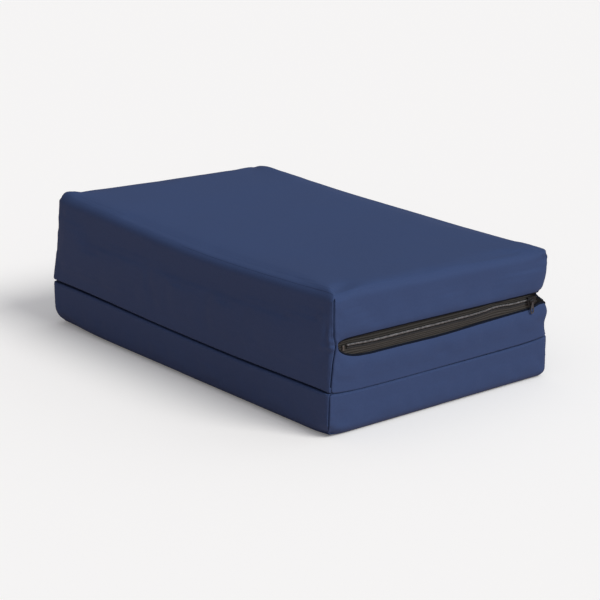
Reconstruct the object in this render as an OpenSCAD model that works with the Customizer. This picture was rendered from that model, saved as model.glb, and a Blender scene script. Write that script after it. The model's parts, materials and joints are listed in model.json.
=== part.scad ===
// Folding foam mat in two hinged sections: a thick block over a thin pad.
// The thick block's front face carries a zip, and a fabric hinge under that face
// lets the thin pad swing out and round by half a turn.
// Millimetres, +Z up. The origin is on the floor under the middle of the folded mat.
// -Y is the front (hinge) end, +Y the open end, +X the right side.

/* [Mat] */
// Width of both sections, along the fold
mat_w = 375; // [300:1:500]
// Length of both sections, from the hinge end to the open end
mat_l = 612; // [400:1:900]
// Thickness of the thin section, cover included
thin_t = 57; // [50:1:90]
// Thickness of the thick section, cover included
thick_t = 118; // [90:1:200]
// Space between the two sections when folded
fold_gap = 3; // [2:0.5:6]
// Radius of the rounded edges of both covers
edge_r = 12; // [8:1:16]
// Radius of the tighter edges along the seams where the sections meet
seam_r = 4; // [3:0.5:5]

/* [Cover] */
// Thickness of the cover fabric
fabric_t = 1; // [0.6:0.1:1.5]
// Height of the seam where a cover's end panel meets its side walls
seam_h = 6; // [4:0.5:8]
// Space between the cover and its foam
foam_clear = 0.5; // [0.2:0.1:1]

/* [Fold hinge] */
// How far the fold axis stands in front of the two front faces
hinge_slack = 3; // [2.5:0.5:5]
// Distance from the hinge strip's ends to the sides of the mat
hinge_end = 6; // [2:1:30]
// Depth of the hinge strip's pleat, folded back into the gap between the sections
pleat_depth = 7; // [5:0.5:12]

/* [Zip] */
// Height of the thick section's zip above that section's lower face
thick_zip_h = 49; // [45:1:60]
// Height of the opening between the two lips of the cover
zip_open = 21; // [18:1:24]
// Depth of the tapes behind the face of the cover
zip_recess = 4; // [3.5:0.5:6]
// Distance from the left side of the mat to the start of the opening
zip_start = 23; // [15:1:40]
// Distance from the right side of the mat to the closed slider's middle
slider_end = 36; // [26:1:60]
// How far the tapes run back along the right side
tape_return = 14; // [10:1:20]
// Width of one tape
tape_w = 16; // [14:0.5:18]
// Thickness of a tape
tape_t = 0.6; // [0.4:0.1:0.8]
// Gap between the two tapes, which the slider's post runs in
tape_split = 2.4; // [2:0.1:3]
// Width of one coil
coil_w = 3.2; // [3:0.1:4.2]
// Height of a coil above its tape
coil_h = 2.6; // [2:0.1:3]

/* [Slider] */
// Length of the slider along the zip
slider_l = 15; // [12:1:20]
// Width of the slider across the zip
slider_w = 10.5; // [10.5:0.5:13]
// Thickness of the slider's wings and flanges
slider_wall = 1; // [0.8:0.1:1.2]
// Running clearance between the slider and the zip
slider_clear = 0.3; // [0.2:0.1:0.4]
// Length of the pull below its pivot
pull_l = 17; // [15:0.5:26]
// Width of the pull
pull_w = 6; // [5:0.5:9]
// Thickness of the pull
pull_t = 1.2; // [1:0.1:1.4]

/* [Hidden] */
$fn = 48;

cover_color = "#3a4a6c";
foam_color = "#e8e2c8";
tape_color = "#2b2a28";
coil_color = "#4a4946";
metal_color = "#3d3b38";

half_w = mat_w / 2;
front = -mat_l / 2;
thick_z = thin_t + fold_gap;
thin_zip_h = thin_t / 2;
foam_inset = fabric_t + foam_clear;
// The hinge cloth lies double in the gap, a little thinner than the gap's half
hinge_cloth_t = min(fabric_t, fold_gap * 0.3);
// The 45 degree point of a rounded corner, where the vertical corner seams run
corner_seam = edge_r * (1 - 1 / sqrt(2));

zip_left = -half_w + zip_start;
slider_x = half_w - slider_end;
tape_front = front + zip_recess;
tape_back = tape_front + tape_t;
coil_front = tape_front - coil_h;
tape_left = zip_left - 4;
tape_right = half_w - corner_seam - fabric_t;
// Groove in the foam that takes the recessed zip
groove_depth = zip_recess + 6;
groove_half = tape_w + 3;

stop_l = 3;
coil_left = zip_left + stop_l + 1;
coil_right = slider_x + slider_l / 6;
top_stop_x = slider_x + slider_l / 2 + 1.5;

wing_back = coil_front - slider_clear;
wing_front = wing_back - slider_wall;
back_wing_y = tape_back + slider_clear + 0.1;
pivot_r = 0.6;
knuckle_bore = pivot_r + 0.08;
knuckle_r = 1.5;
knuckle_l = 3;
arch_l = 6;
pivot_y = wing_front - knuckle_r - 0.2;

// ---------- cover and foam, drawn in a section's own frame ----------
// A section lies on z = 0 on its sewn-in panel, with its zip at the front.

// Rectangle a wide standing on y = 0 and b high, with its own radius for the low and the high corners
module rounded_rect(a, b, low_r, high_r) {
    translate([-a / 2, low_r]) square([a, b - low_r - high_r]);
    translate([-a / 2 + low_r, 0]) square([a - 2 * low_r, b / 2]);
    translate([-a / 2 + high_r, b / 2]) square([a - 2 * high_r, b / 2]);
    for (side = [-1, 1]) {
        translate([side * (a / 2 - low_r), low_r]) circle(low_r);
        translate([side * (a / 2 - high_r), b - high_r]) circle(high_r);
    }
}

// The section's outer shape pulled in by inset on every side
module soft_block(t, inset) {
    w = mat_w - 2 * inset;
    l = mat_l - 2 * inset;
    h = t - 2 * inset;
    r = edge_r - inset;
    translate([0, 0, inset]) intersection() {
        linear_extrude(h) translate([0, -l / 2]) rounded_rect(w, l, r, r);
        rotate([90, 0, 90]) translate([0, 0, -w / 2]) linear_extrude(w)
            rounded_rect(l, h, seam_r - inset, r);
    }
}

module cover_shell(t) {
    difference() {
        soft_block(t, 0);
        soft_block(t, fabric_t);
    }
}

// A box that spans x0..x1, y0..y1 and z0..z1
module span(x0, x1, y0, y1, z0, z1) {
    translate([x0, y0, z0]) cube([x1 - x0, y1 - y0, z1 - z0]);
}

module foam_core(t, zip_h) {
    color(foam_color) difference() {
        soft_block(t, foam_inset);
        span(-half_w, half_w, front, front + groove_depth, zip_h - groove_half, zip_h + groove_half);
        span(half_w - groove_depth, half_w, front, front + tape_return + 4,
             zip_h - groove_half, zip_h + groove_half);
    }
}

// Closed end and four walls in one cloth, with the zip opening cut in the front wall
module cover_cap(t, zip_h) {
    lip_z = zip_h + zip_open / 2;
    color(cover_color) {
        difference() {
            cover_shell(t);
            span(-half_w, half_w, front, -front, 0, seam_h);
            span(-half_w + corner_seam, half_w - corner_seam, front, front + edge_r, 0, lip_z - zip_open);
            span(zip_left, half_w, front, front + tape_return, lip_z - zip_open, lip_z);
        }
        span(zip_left, half_w - corner_seam - fabric_t, front + fabric_t, tape_front, lip_z, lip_z + fabric_t);
    }
}

// The strip of the front wall between the zip and the sewn-in panel
module cover_band(t, zip_h) {
    lip_z = zip_h - zip_open / 2;
    color(cover_color) {
        intersection() {
            cover_shell(t);
            span(-half_w + corner_seam, half_w - corner_seam, front, front + edge_r, seam_h, lip_z);
        }
        span(zip_left, half_w - corner_seam - fabric_t, front + fabric_t, tape_front,
             lip_z - fabric_t, lip_z);
    }
}

module cover_panel(t) {
    color(cover_color) intersection() {
        cover_shell(t);
        span(-half_w, half_w, front, -front, 0, seam_h);
    }
}

// ---------- zip, drawn round its own centre line at z = 0 ----------
// side is 1 for the half above the centre line and -1 for the half below.

module tape(side) {
    low = side > 0 ? tape_split / 2 : -tape_w;
    color(tape_color) translate([0, 0, low]) linear_extrude(tape_w - tape_split / 2) {
        translate([tape_left, tape_front]) square([tape_right - tape_left, tape_t]);
        translate([tape_right - tape_t, tape_front]) square([tape_t, tape_return - zip_recess]);
    }
}

module coil(side) {
    bar_r = coil_h / 2;
    color(coil_color) translate([coil_left, 0, side * coil_w / 2]) rotate([90, 0, 90])
        linear_extrude(coil_right - coil_left) translate([tape_front - bar_r, 0]) {
            circle(bar_r - 0.01);
            translate([0, -coil_w / 2 + 0.05]) square([bar_r, coil_w - 0.1]);
        }
}

// Two small stops, one on each tape beyond the closed slider
module top_stops() {
    color(metal_color) for (side = [-1, 1])
        translate([top_stop_x, coil_front + 0.6, side * 3 - 1]) cube([stop_l, coil_h - 0.6, 2]);
}

module bottom_stop() {
    color(metal_color) translate([zip_left + 0.5, coil_front + 0.4, -coil_w])
        cube([stop_l, coil_h - 0.4, 2 * coil_w]);
}

// Front and back wing joined by a post, with flanges that hold the coils in
module slider() {
    x0 = slider_x - slider_l / 2;
    x1 = slider_x + slider_l / 2;
    half = slider_w / 2;
    post_x = slider_x + slider_l / 6 + 0.5;
    color(metal_color) {
        span(x0, x1, wing_front, wing_back, -half, half);
        span(x0, x1, back_wing_y, back_wing_y + slider_wall, -half, half);
        for (side = [-1, 1])
            translate([x0, wing_back, side * (half - slider_wall / 2) - slider_wall / 2])
                cube([slider_l, coil_h - 0.2, slider_wall]);
        span(post_x, x1, wing_back, back_wing_y, -tape_split / 2 + 0.2, tape_split / 2 - 0.2);
        for (end = [-1, 1])
            translate([slider_x + end * (arch_l / 2 + 0.5) - 0.5, pivot_y - pivot_r, -pivot_r])
                cube([1, wing_front - pivot_y + pivot_r, 2 * pivot_r]);
        translate([slider_x - arch_l / 2, pivot_y, 0]) rotate([0, 90, 0]) cylinder(h = arch_l, r = pivot_r);
    }
}

// Flat pull with a knuckle round the slider's pin and a rounded loop at its free end.
// dir is -1 for a pull that hangs towards -z and 1 for one that lies towards +z.
module pull(dir) {
    loop_r = pull_w / 2;
    color(metal_color) difference() {
        union() {
            translate([slider_x - knuckle_l / 2, pivot_y, 0]) rotate([0, 90, 0])
                cylinder(h = knuckle_l, r = knuckle_r);
            translate([slider_x, pivot_y + pull_t / 2, 0]) rotate([90, 0, 0]) linear_extrude(pull_t) {
                translate([-knuckle_l / 2, dir > 0 ? 0 : -5]) square([knuckle_l, 5]);
                translate([0, dir * (pull_l - loop_r)]) circle(loop_r);
                translate([-loop_r * 0.7, dir > 0 ? 4 : -pull_l + loop_r])
                    square([loop_r * 1.4, pull_l - loop_r - 4]);
            }
        }
        translate([slider_x - knuckle_l, pivot_y, 0]) rotate([0, 90, 0])
            cylinder(h = 2 * knuckle_l, r = knuckle_bore);
        translate([slider_x, pivot_y + pull_t, dir * (pull_l - loop_r)]) rotate([90, 0, 0])
            cylinder(h = 2 * pull_t, r = loop_r - 1.6);
    }
}

// ---------- placing ----------

module in_thick() {
    translate([0, 0, thick_z]) children();
}

// The thin section is upside down: its sewn-in panel faces the thick section and its zip is at the rear
module in_thin() {
    translate([0, 0, thin_t]) rotate([180, 0, 0]) children();
}

module on_thick_zip() {
    in_thick() translate([0, 0, thick_zip_h]) children();
}

module on_thin_zip() {
    in_thin() translate([0, 0, thin_zip_h]) children();
}

// Cloth that joins the two sections at the front, folded back on itself in the gap so that it
// opens to the length that the unfolded mat needs
module fold_hinge_strip() {
    gap_clear = 0.1;
    leg_y = front + seam_r / 2;
    color(cover_color) difference() {
        span(-half_w + hinge_end, half_w - hinge_end, leg_y, leg_y + pleat_depth,
             thin_t + gap_clear, thick_z - gap_clear);
        span(-half_w, half_w, front, leg_y + pleat_depth - fabric_t,
             thin_t + gap_clear + hinge_cloth_t, thick_z - gap_clear - hinge_cloth_t);
    }
}

in_thick() foam_core(thick_t, thick_zip_h);  // thick_foam_core
in_thick() cover_cap(thick_t, thick_zip_h);  // thick_cover_cap
in_thick() cover_band(thick_t, thick_zip_h);  // thick_front_band
in_thick() cover_panel(thick_t);  // thick_base_panel
on_thick_zip() tape(1);  // thick_zip_upper_tape
on_thick_zip() tape(-1);  // thick_zip_lower_tape
on_thick_zip() coil(1);  // thick_zip_upper_coil
on_thick_zip() coil(-1);  // thick_zip_lower_coil
on_thick_zip() top_stops();  // thick_zip_top_stops
on_thick_zip() bottom_stop();  // thick_zip_bottom_stop
on_thick_zip() slider();  // thick_zip_slider
on_thick_zip() pull(-1);  // thick_zip_pull
in_thin() foam_core(thin_t, thin_zip_h);  // thin_foam_core
in_thin() cover_cap(thin_t, thin_zip_h);  // thin_cover_tray
in_thin() cover_band(thin_t, thin_zip_h);  // thin_rear_band
in_thin() cover_panel(thin_t);  // thin_inner_panel
on_thin_zip() tape(-1);  // thin_zip_upper_tape
on_thin_zip() tape(1);  // thin_zip_lower_tape
on_thin_zip() coil(-1);  // thin_zip_upper_coil
on_thin_zip() coil(1);  // thin_zip_lower_coil
on_thin_zip() top_stops();  // thin_zip_top_stops
on_thin_zip() bottom_stop();  // thin_zip_bottom_stop
on_thin_zip() slider();  // thin_zip_slider
on_thin_zip() pull(1);  // thin_zip_pull
fold_hinge_strip();
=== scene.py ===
"""Folding foam mat: a thick section folded over a thin one, each in a zipped coated-fabric cover.

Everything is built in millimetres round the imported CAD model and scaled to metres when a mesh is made.
-Y is the front (the hinge end with the thick section's zip), +X the right side, +Z up.
"""

import json
import math
from types import SimpleNamespace

import bmesh
import bpy
import numpy as np
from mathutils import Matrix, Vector
from mathutils.kdtree import KDTree


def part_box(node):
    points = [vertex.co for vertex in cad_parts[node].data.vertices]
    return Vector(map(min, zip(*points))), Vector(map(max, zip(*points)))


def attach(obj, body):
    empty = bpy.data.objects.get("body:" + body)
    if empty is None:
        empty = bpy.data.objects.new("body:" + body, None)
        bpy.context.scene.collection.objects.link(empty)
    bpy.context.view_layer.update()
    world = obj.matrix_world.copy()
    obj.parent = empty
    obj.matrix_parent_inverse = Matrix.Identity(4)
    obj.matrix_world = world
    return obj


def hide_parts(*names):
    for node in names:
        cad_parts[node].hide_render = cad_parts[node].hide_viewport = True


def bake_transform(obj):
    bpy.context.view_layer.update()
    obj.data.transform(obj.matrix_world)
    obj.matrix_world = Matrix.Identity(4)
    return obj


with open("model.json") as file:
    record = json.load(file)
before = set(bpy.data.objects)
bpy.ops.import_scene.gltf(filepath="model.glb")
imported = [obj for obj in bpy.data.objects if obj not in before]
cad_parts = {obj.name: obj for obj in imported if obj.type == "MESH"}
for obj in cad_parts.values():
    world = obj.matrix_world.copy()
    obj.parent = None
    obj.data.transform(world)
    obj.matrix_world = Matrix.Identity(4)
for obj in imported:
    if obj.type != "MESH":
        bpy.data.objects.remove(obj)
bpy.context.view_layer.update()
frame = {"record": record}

MM = 0.001
TAU = 2 * math.pi
SQRT2 = math.sqrt(2)


# ---------- measures read from the CAD ----------

def node_box(name):
    """Lowest and highest corner of a CAD node, in millimetres."""
    lo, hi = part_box(name)
    return np.array(lo) / MM, np.array(hi) / MM


def zip_middle(section):
    """Height at which the two tapes of a section's zip meet."""
    _, upper_hi = node_box(section + "_zip_upper_tape")
    lower_lo, _ = node_box(section + "_zip_lower_tape")
    return (upper_hi[2] + lower_lo[2]) / 2


_, (HALF_W, HALF_L, TOP_Z) = node_box("thick_cover_cap")
THICK_Z = node_box("thick_base_panel")[0][2]
THIN_T = node_box("thin_inner_panel")[1][2]
THICK_T = TOP_Z - THICK_Z
SPLIT_Z = (THIN_T + THICK_Z) / 2
FOLD_GAP = THICK_Z - THIN_T
MAT_W = 2 * HALF_W
MAT_L = 2 * HALF_L
FRONT = -HALF_L

ZIP_Z = zip_middle("thick")
THIN_ZIP_Z = zip_middle("thin")
tape_lo, tape_hi = node_box("thick_zip_upper_tape")
TAPE_W = tape_hi[2] - ZIP_Z
TAPE_DEPTH = tape_lo[1] - FRONT
coil_lo, coil_hi = node_box("thick_zip_upper_coil")
COIL_LEFT, COIL_RIGHT = coil_lo[0], coil_hi[0]
_, COIL_H, COIL_W = coil_hi - coil_lo
PULL_Y = node_box("thick_zip_pull")[0][1] + 1.5


# ---------- small maths ----------

def smooth(x, lo, hi):
    """0 below lo, 1 above hi, with a soft S between."""
    t = np.clip((x - lo) / (hi - lo), 0, 1)
    return t * t * (3 - 2 * t)


def bell(x, centre, width):
    """1 at centre, falling off softly over about width on both sides."""
    return np.exp(-(((x - centre) / width) ** 2))


def unit(v):
    """The rows of v at length 1."""
    return v / np.maximum(np.linalg.norm(v, axis=-1, keepdims=True), 1e-9)


def ticks(length, fine, coarse):
    """Symmetric grid lines over 0..length, fine spaced near both ends and coarse in the middle."""
    steps = [fine] * int(round(FINE_EDGE / fine))
    while steps[-1] < coarse:
        steps.append(min(steps[-1] * 1.35, coarse))
    ends = np.concatenate([[0], np.cumsum(steps)])
    middle = length - 2 * ends[-1]
    count = max(2, int(round(middle / coarse)))
    inner = ends[-1] + middle * np.arange(1, count) / count
    return np.concatenate([ends, inner, (length - ends)[::-1]])


def spread(count):
    """count + 1 fractions over 0..1, closer together near both ends."""
    wave = np.cos(np.pi * np.arange(count + 1) / count)
    return 0.5 - 0.5 * wave * (0.45 + 0.55 * np.abs(wave) ** 0.5)


def sheet_quads(ids):
    """The faces of a grid of point numbers."""
    return np.stack([ids[:-1, :-1], ids[1:, :-1], ids[1:, 1:], ids[:-1, 1:]], -1).reshape(-1, 4)


def numbered(rows, columns):
    """A grid of point numbers, row by row."""
    return np.arange(rows * columns).reshape(rows, columns)


# ---------- how the soft sections settle ----------

PLAN_R = 12.0        # radius of the vertical corners, seen from above
SEWN_R = 5.5         # the same at the front left, where the cloth is drawn to a sharp seam
TOP_R = 12.0         # radius of the outer horizontal edges
WORN_R = 24.0        # the same at the foot of the two left corners
TIGHT_R = 5.0        # the same where the thick cover is drawn tight, at its right and rear
CORNER_TOP_R = 2.5   # the same at the thick section's front right corner
FOLD_R = 2.6         # radius of the horizontal edges at the fold
CREASE_R = 1.6       # the same at the hinge, where the two covers meet

# Heights of the fold between the sections, over its height in the CAD
GAP_LEFT = -1.3          # the open gap on the left
GAP_LEFT_DIP = 1.4       # sags a third of the way back
REAR_LEFT_RISE = 6.4     # and opens upwards at the rear
GAP_RIGHT = -3.0         # on the right it rises evenly
GAP_RIGHT_RISE = 4.0     # towards the rear
CREASE_LEVEL = -6.6      # the hinge crease lies lower than the gap at the sides
CREASE_LEFT_END = 5.5    # and rises towards both of its ends
CREASE_RIGHT_END = 5.0
CREASE_END_SHARE = 0.07  # over this share of the width
CREASE_GAP = 0.7         # space between the covers at the hinge

# Heights of the top, over its height in the CAD
TOP_AT_FRONT_LEFT = -0.4
TOP_ALONG_X = -7.6
TOP_ALONG_Y = 10.0
TOP_SAG = 8.0            # sag of the top along the left edge
RIGHT_SAG = 0.6          # and along the right edge
EAR = 4.4                # cloth standing up at the rear left corner
BESIDE_EAR = 2.0         # and, less, along the rear edge beside it
REAR_RIGHT_RISE = 2.9    # the rear right corner stays up
REAR_RIGHT_DIP = 1.6     # all but its very tip

# The front right corner of the thick section, drawn in by the end of the zip
CORNER_PULL = 28.5       # how far, at the upper lip
CORNER_PULL_TOP = 2.0    # how far at the top
PILLOW_H = 19.0          # height over which the cloth above the lip swells out again
LIP_TOP_AT_CORNER = 111.5
LIP_LOW_AT_CORNER = 100.5
WAIST = 3.5              # and, less, at a waist below the zip
WAIST_Z = 72

LEFT_FOOT_LIFT = 1.7     # the left edge of the thin section's foot stands clear of the floor


def plan_share(p):
    """Where points lie across the width (0 left, 1 right) and along the length (0 front, 1 rear)."""
    return (p[:, 0] + HALF_W) / MAT_W, (p[:, 1] + HALF_L) / MAT_L


def from_faces(p):
    """Distances of points from the left, right, front and rear faces."""
    return p[:, 0] + HALF_W, HALF_W - p[:, 0], p[:, 1] - FRONT, HALF_L - p[:, 1]


def split_rise(p):
    """How far the fold between the sections lies above its height in the CAD."""
    u, v = plan_share(p)
    left = GAP_LEFT - GAP_LEFT_DIP * bell(v, 0.3, 0.16) + REAR_LEFT_RISE * smooth(v, 0.45, 1.0)
    right = GAP_RIGHT + GAP_RIGHT_RISE * v
    side = left * (1 - u) + right * u
    crease = CREASE_LEVEL + CREASE_LEFT_END * np.exp(-u / CREASE_END_SHARE)
    crease += CREASE_RIGHT_END * np.exp((u - 1) / CREASE_END_SHARE)
    at_hinge = np.exp(-np.maximum(p[:, 1] - FRONT, 0) / 9)
    return side + (crease - side) * at_hinge


def gap_half(p):
    """Half the space between the two covers."""
    u, v = plan_share(p)
    side = 0.3 * FOLD_GAP + 0.9 * smooth(v, 0.55, 1.0) * (1 - u)
    crease = CREASE_GAP / 2 * (1 + 1.1 * smooth(u, 0.4, 0.75) * (1 - smooth(u, 0.9, 1)))
    at_hinge = bell(np.maximum(p[:, 1] - FRONT, 0), 0, 10)
    return side + (crease - side) * at_hinge


def top_rise(p):
    """How far the top lies above its height in the CAD."""
    u, v = plan_share(p)
    left, right, _, rear = from_faces(p)
    rise = TOP_AT_FRONT_LEFT + TOP_ALONG_X * u + TOP_ALONG_Y * v
    along = np.sin(np.pi * np.clip(v / 0.82, 0, 1)) ** 1.3
    rise -= TOP_SAG * along * np.clip(1 - u, 0, 1) ** 1.5
    rise -= RIGHT_SAG * np.sin(np.pi * v) * np.clip(u, 0, 1)
    rise += EAR * bell(left, 12, 20) * bell(rear, 12, 22)
    rise += BESIDE_EAR * bell(left, 46, 30) * bell(rear, 0, 60)
    rise += REAR_RIGHT_RISE * bell(right, 0, 28) * bell(rear, 60, 110)
    return rise - REAR_RIGHT_DIP * bell(right, 8, 16) * bell(rear, 4, 18)


def corner_pull(z):
    """How far the front right corner of the thick section is drawn in, by height."""
    over = np.maximum(z - LIP_TOP_AT_CORNER, 0)
    swell = 0.45 * np.exp(-over / PILLOW_H) + 0.55 * (1 - smooth(over, 0, 11))
    pillow = CORNER_PULL_TOP + (CORNER_PULL - CORNER_PULL_TOP) * swell
    mouth = np.clip((z - LIP_LOW_AT_CORNER) / (LIP_TOP_AT_CORNER - LIP_LOW_AT_CORNER), 0, 1)
    pull = np.where(z >= LIP_TOP_AT_CORNER, pillow, CORNER_PULL * mouth)
    return pull + WAIST * bell(z, WAIST_Z, 12) - 0.5


def settle_thick(p):
    """Moves points in and on the thick section to where the soft foam and cloth settle."""
    z = p[:, 2]
    u, v = plan_share(p)
    left, right, front, rear = from_faces(p)
    below = np.clip((ZIP_Z - z) / (ZIP_Z - THICK_Z), 0, 1)
    above = np.clip((z - ZIP_Z) / (TOP_Z - ZIP_Z), 0, 1)
    dz = (split_rise(p) + gap_half(p) - FOLD_GAP / 2) * below + top_rise(p) * above

    # The rear left corner leans in at its top and stands out at its foot
    share = (z - THICK_Z) / THICK_T
    lean = (3.1 - 17.0 * share + 2.0 * share ** 2) * np.exp(-(left + rear) / 60)
    # The left face runs in towards its sewn front corner
    drawn = (2.0 + 3.2 * smooth(share, 0, 0.7)) * np.clip(1 - u, 0, 1) * np.clip(1 - v, 0, 1)
    # The front right corner is drawn in by the end of the zip
    pulled = corner_pull(z) * bell(right, 0, 15) * bell(front, 0, 17)
    inward = (lean + pulled) / SQRT2
    return p + np.column_stack([drawn - inward, inward, dz])


def settle_thin(p):
    """The same for the thin section."""
    z = p[:, 2]
    left, _, front, rear = from_faces(p)
    above = np.clip((z - THIN_ZIP_Z) / (THIN_T - THIN_ZIP_Z), 0, 1)
    foot = np.clip(1 - z / THIN_ZIP_Z, 0, 1)
    dz = (split_rise(p) - gap_half(p) + FOLD_GAP / 2) * above
    dz += LEFT_FOOT_LIFT * foot * np.exp(-left / 16) * smooth(front, 0, 60)
    # The rear left corner stands out
    out = (1.0 + 1.8 * smooth(z, 10, 40)) * np.exp(-(left + rear) / 22) / SQRT2
    return p + np.column_stack([-out, out, dz])


# ---------- the outline of the mat, as a ring from the front left corner to the right ----------

CORNERS = np.array([0, MAT_W, MAT_W + MAT_L, 2 * MAT_W + MAT_L])
RING = 2 * (MAT_W + MAT_L)
HALF = np.array([HALF_W, HALF_L])
SEAM_FROM_CORNER = 5.0   # ring distance from a corner to its seam's grid line
SEAM_FREE = 7.0          # the corner seams stop this far from the closed side
# (ring position, direction towards the middle of its face) of the four corner seams
SEAMS = [(corner + way * SEAM_FROM_CORNER, way) for corner, way in zip(CORNERS, (1, -1, 1, -1))]


def ring_point(s, inset=0.0):
    """Plan point at ring distance s on the mat's sharp-cornered outline."""
    s = np.mod(s, RING)
    ends = [*CORNERS, RING]
    x = np.interp(s, ends, [-HALF_W, HALF_W, HALF_W, -HALF_W, -HALF_W])
    y = np.interp(s, ends, [-HALF_L, -HALF_L, HALF_L, HALF_L, -HALF_L])
    return np.clip(x, -HALF_W + inset, HALF_W - inset), np.clip(y, -HALF_L + inset, HALF_L - inset)


def ring_gap(s, at):
    """Signed distance round the ring from at to s."""
    return np.mod(s - at + RING / 2, RING) - RING / 2


def plan_radius(x, y):
    """Radius of the nearest vertical corner, in the mat's frame."""
    return np.where((x < 0) & (y < 0), SEWN_R, PLAN_R)


def round_plan(xy, radius, inset=0.0):
    """Rounds the corners of a sharp plan. Returns its inner core, the way out and the distance out."""
    limit = HALF - inset - np.reshape(radius, (-1, 1))
    core = np.clip(xy, -limit, limit)
    return core, unit(xy - core), np.abs(xy - core).max(1)


# ---------- zip openings and seams, as functions of the ring position ----------

ZIP_START = 8.5          # ring position of the thick section's opening at its left end
THIN_ZIP_START = 16.0    # the same for the thin section
ZIP_RETURN = 17.0        # how far the openings run on round the corner
ZIP_END_Z = 115.5        # height of the thick section's opening at its pointed left end
LIP_TOP_Z = 121.7        # height of its upper lip
LIP_LOW_Z = 94.3         # height of its lower lip
THIN_REACH = 10.5        # height of the thin section's lips over the middle of its zip


def rounded_end(distance, length):
    """0 at the end of an opening, rising along an ellipse to 1 at length."""
    t = np.clip(distance / length, 0, 1)
    return np.sqrt(np.clip(1 - (1 - t) ** 2, 0, 1))


def thick_lip(s, upper):
    """Height of a lip above the section's lower face."""
    end = MAT_W + ZIP_RETURN
    t = np.clip(s / MAT_W, 0, 1)
    if upper:
        level = LIP_TOP_Z - 1.3 * smooth(t, 0.2, 0.95) - 1.5 * smooth(s, 350, 380)
        left = rounded_end(s - ZIP_START, 24)
    else:
        # Hangs a little in the middle, and is drawn up and then down at the front right corner
        level = LIP_LOW_Z - 0.8 * bell(t, 0.47, 0.12) + 3.0 * smooth(t, 0.45, 1.0)
        level += 3.0 * smooth(s, 340, 358) - 6.0 * smooth(s, 362, 378)
        left = rounded_end(s - ZIP_START, 60) ** 0.85
    right = rounded_end(end - s, 15)
    centre = ZIP_END_Z + (ZIP_Z - ZIP_END_Z) * smooth(s, 8, 60) * (1 - smooth(s, MAT_W, end))
    inside = (s > ZIP_START) & (s < end)
    height = centre + (level - centre) * np.minimum(left, right)
    return np.where(inside, height, ZIP_END_Z) - THICK_Z


def thin_lip(s, upper):
    """The same for the thin section, whose lips waver a little."""
    end = MAT_W + ZIP_RETURN
    reach = THIN_REACH + 0.6 * np.sin(s / 47.0)
    shape = np.minimum(rounded_end(s - THIN_ZIP_START, 30), rounded_end(end - s, 15))
    inside = (s > THIN_ZIP_START) & (s < end)
    return THIN_T / 2 + np.where(inside, (reach if upper else -reach) * shape, 0)


def thick_seam(h):
    """Ring distance of the front left seam from its corner: it turns aside round the end of the zip."""
    z = h + THICK_Z
    return 2.0 + 1.5 * smooth(z, 66, 90) + 3.9 * bell(z, 114, np.where(z > 114, 9, 17))


def thin_seam(h):
    """The same for the thin section."""
    return 0.2 + 1.4 * smooth(THIN_T - h, 0, 50)


class Section:
    """One section of the mat, built in a frame of its own: height 0 at the fold, its zip on the -Y face."""

    def __init__(self, name, thickness, flipped, zip_z, lip, end_h, drawn, seam, settle):
        self.name = name
        self.body = name + "_section"
        self.t = thickness
        self.flipped = flipped
        self.turn = np.array([1, -1, -1] if flipped else [1, 1, 1])   # its axes in the mat's frame
        self.lift = THIN_T if flipped else THICK_Z                    # height of its fold side there
        self.zip_z = zip_z                                            # height of its zip's middle there
        self.zip_h = (zip_z - self.lift) * self.turn[2]               # and in its own frame
        self.lip = lip
        self.end_h = end_h                                            # height of its opening's left end
        self.drawn = drawn                                            # number of its front left seam
        self.seam = seam
        self.settle = settle

    def settled(self, p):
        """Points from the section's own frame, settled, in the mat's."""
        return self.settle(self.straight(p))

    def straight(self, p):
        """The same as they lie in the CAD."""
        return p * self.turn + (0, 0, self.lift)

    def seam_at(self, index, h):
        """Ring distance of a corner seam from its corner, by height."""
        return self.seam(h) if index == self.drawn else np.full(np.shape(h), SEAM_FROM_CORNER)


thick = Section("thick", THICK_T, False, ZIP_Z, thick_lip, ZIP_END_Z - THICK_Z, 0, thick_seam, settle_thick)
thin = Section("thin", THIN_T, True, THIN_ZIP_Z, thin_lip, THIN_T / 2, 3, thin_seam, settle_thin)


# ---------- the grid that each cover is made on ----------

CAP, BAND, BASE = 0, 1, 2    # which piece of the cover a face belongs to
BASE_ROWS = 2                # the hidden panel takes this many rows of the walls with it
FINE_EDGE = 16               # the grid is fine this far from each corner
LEAST_OPENING = 0.05         # a narrower opening counts as closed


def low_radius(sec, y):
    """Radius of the edge at the fold, tighter at the hinge."""
    return FOLD_R + (CREASE_R - FOLD_R) * bell(y * sec.turn[1], FRONT, 14)


def high_radius(sec, x, y):
    """Radius of the outer horizontal edge, in the section's own frame."""
    if sec.flipped:
        at_rear_left = bell(x, -HALF_W, 45) * bell(y, FRONT, 70)
        at_front_left = bell(x, -HALF_W, 17) * bell(y, -FRONT, 24)
        return TOP_R + (WORN_R - TOP_R) * (at_rear_left + at_front_left)
    at_left = bell(x, -HALF_W, 60)
    at_front = bell(y, FRONT, 40) * (1 - smooth((x + HALF_W) / MAT_W, 0.90, 0.99))
    tight = TIGHT_R + (CORNER_TOP_R - TIGHT_R) * bell(x, HALF_W, 40) * bell(y, FRONT, 60)
    return tight + (TOP_R - tight) * np.maximum(at_left, at_front)


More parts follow.
